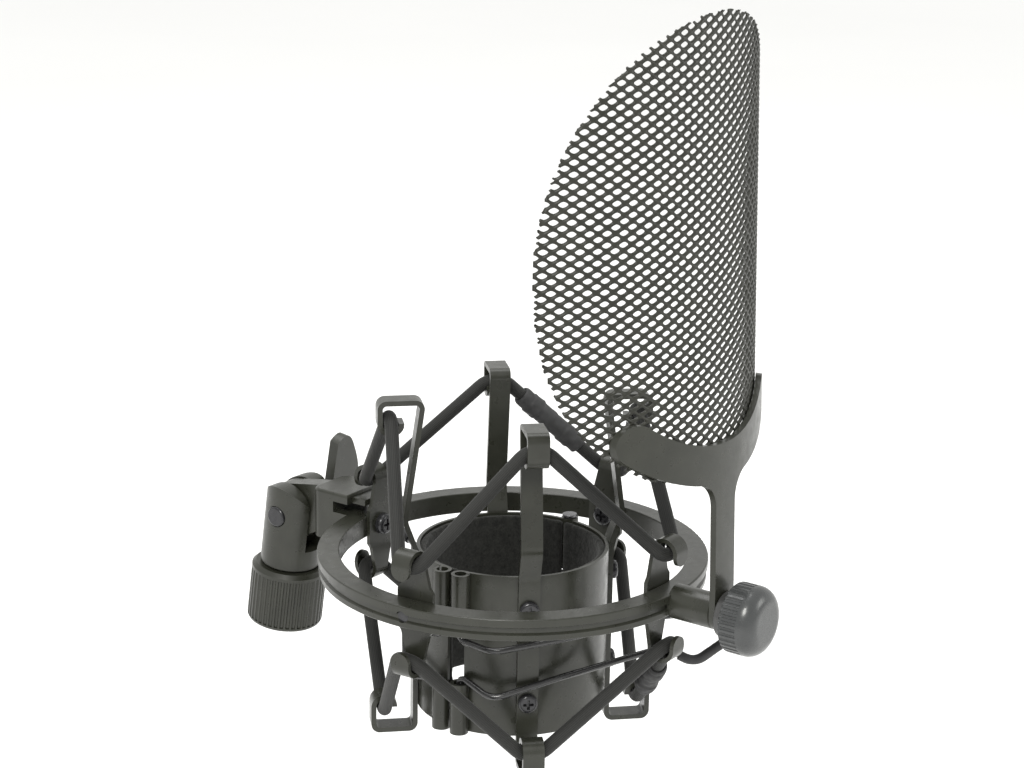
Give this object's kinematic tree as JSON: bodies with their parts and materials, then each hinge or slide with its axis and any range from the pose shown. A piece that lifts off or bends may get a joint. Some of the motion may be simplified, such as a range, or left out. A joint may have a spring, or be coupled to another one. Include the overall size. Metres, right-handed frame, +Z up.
{
  "type": "microphone shock mount with pop filter",
  "caption": "Spider shock mount: a sprung round microphone clamp hung in a ring on elastic cords, with a curved mesh pop filter on a swinging arm and a tilting stand adaptor.",
  "frame": {"origin": "on the microphone clamp's axis, level with the middle of the suspension ring", "axes": "+Z up along the clamp's axis, the way the microphone goes in; the pop filter stands at -Y, the stand adaptor at +Y; the clamp opens at -X and hinges at +X"},
  "size_m": [0.1161, 0.1874, 0.2179],
  "materials": {
    "satin_black_paint": "satin near-black paint",
    "black_screw": "glossy black plated screw",
    "dark_steel": "dark spring steel",
    "coated_wire": "black coated wire",
    "elastic_cord": "finely braided black elastic",
    "splice_sleeve": "matte moulded sleeve",
    "black_felt": "short black felt",
    "soft_sleeve": "soft matte sleeve",
    "mesh_paint": "dark painted expanded metal",
    "knob_plastic": "satin black plastic",
    "nylon_washer": "dark nylon",
    "insert_brass": "turned brass"
  },
  "bodies": {
    "collar": {"stand_collar": "satin_black_paint", "thread_insert": "insert_brass"},
    "swivel": {"swivel_body": "satin_black_paint", "pivot_bolt": "black_screw", "pivot_washers": "nylon_washer", "collar_circlip": "dark_steel"},
    "wing": {"wing_lever": "satin_black_paint"},
    "ring": {"ring_hoop": "satin_black_paint", "bracket_filter_side": "satin_black_paint", "bracket_hinge_side": "satin_black_paint", "bracket_stand_side": "satin_black_paint", "bracket_opening_side": "satin_black_paint", "bracket_screws": "black_screw", "ring_saddle": "satin_black_paint", "filter_post": "satin_black_paint", "filter_stud": "dark_steel", "knob_washer": "nylon_washer", "upper_elastic": "elastic_cord", "lower_elastic": "elastic_cord", "upper_splice": "splice_sleeve", "lower_splice": "splice_sleeve"},
    "pop_arm": {"filter_arm": "satin_black_paint", "filter_mesh": "mesh_paint"},
    "pop_knob": {"filter_knob": "knob_plastic"},
    "cradle_core": {"hinge_pin": "dark_steel", "torsion_spring": "dark_steel"},
    "front_half": {"front_shell": "satin_black_paint", "front_felt": "black_felt", "front_strap_left": "satin_black_paint", "front_strap_right": "satin_black_paint", "front_strap_screws": "black_screw", "front_handle": "coated_wire", "front_grip": "soft_sleeve"},
    "back_half": {"back_shell": "satin_black_paint", "back_felt": "black_felt", "back_strap_left": "satin_black_paint", "back_strap_right": "satin_black_paint", "back_strap_screws": "black_screw", "back_handle": "coated_wire", "back_grip": "soft_sleeve"}
  },
  "joints": [
    {"name": "adaptor_turn", "type": "hinge", "parent": "collar", "child": "swivel", "pos_m": [0, 0.08808, -0.02776], "axis": [0, -0.1392, 0.9903], "continuous": true},
    {"name": "stand_tilt", "type": "hinge", "parent": "swivel", "child": "ring", "pos_m": [0, 0.0846, -0.003], "axis": [1, 0, 0], "range_deg": [-80, 35]},
    {"name": "wing_turn", "type": "hinge", "parent": "swivel", "child": "wing", "pos_m": [0.019, 0.0846, -0.003], "axis": [1, 0, 0], "continuous": true},
    {"name": "filter_swing", "type": "hinge", "parent": "ring", "child": "pop_arm", "pos_m": [0, -0.0712, 0], "axis": [0, 1, 0], "range_deg": [-90, 90]},
    {"name": "knob_turn", "type": "hinge", "parent": "ring", "child": "pop_knob", "pos_m": [0, -0.08, 0], "axis": [0, -1, 0], "continuous": true},
    {"name": "cradle_bounce", "type": "slide", "parent": "ring", "child": "cradle_core", "axis": [0, 0, 1], "range_m": [-0.003, 0.003], "stiffness_N_per_m": 1500, "deforming": ["upper_elastic", "lower_elastic", "upper_splice", "lower_splice"]},
    {"name": "front_open", "type": "hinge", "parent": "cradle_core", "child": "front_half", "pos_m": [0.02985, 0, -0.02], "axis": [0, 0, 1], "range_deg": [0, 6], "stiffness_Nm_per_rad": 0.8, "springref_deg": -20.05, "deforming": ["torsion_spring"]},
    {"name": "back_open", "type": "hinge", "parent": "cradle_core", "child": "back_half", "pos_m": [0.02985, 0, -0.02], "axis": [0, 0, 1], "range_deg": [-6, 0]}
  ],
  "couplings": [
    {"joint": "back_open", "follows": "front_open", "ratio": -1}
  ]
}
